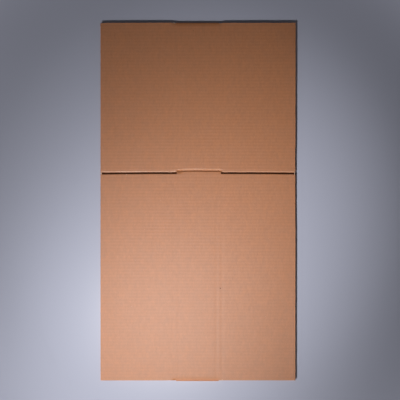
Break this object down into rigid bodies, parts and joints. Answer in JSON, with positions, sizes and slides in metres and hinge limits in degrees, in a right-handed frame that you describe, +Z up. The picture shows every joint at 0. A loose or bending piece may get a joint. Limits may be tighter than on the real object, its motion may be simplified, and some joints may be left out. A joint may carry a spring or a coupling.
{
  "type": "flattened cardboard box",
  "caption": "Slotted carton of fluted kraft board, knocked flat: a folded sleeve with a glued joint, open flaps in line with it, and creases and slots as cut.",
  "frame": {"origin": "under the middle of the flat carton, on the surface that it lies on", "axes": "+X across the flaps and along the flutes, +Y along the flattened sleeve towards the short panel of the upper layer, +Z up, out of the upper face"},
  "size_m": [0.3864, 0.7098, 0.0077],
  "materials": {
    "kraft_board": "bare brown kraft paper, matt, with a faint sheen along the fibres"
  },
  "bodies": {
    "root": {"carton": "kraft_board"}
  },
  "joints": []
}
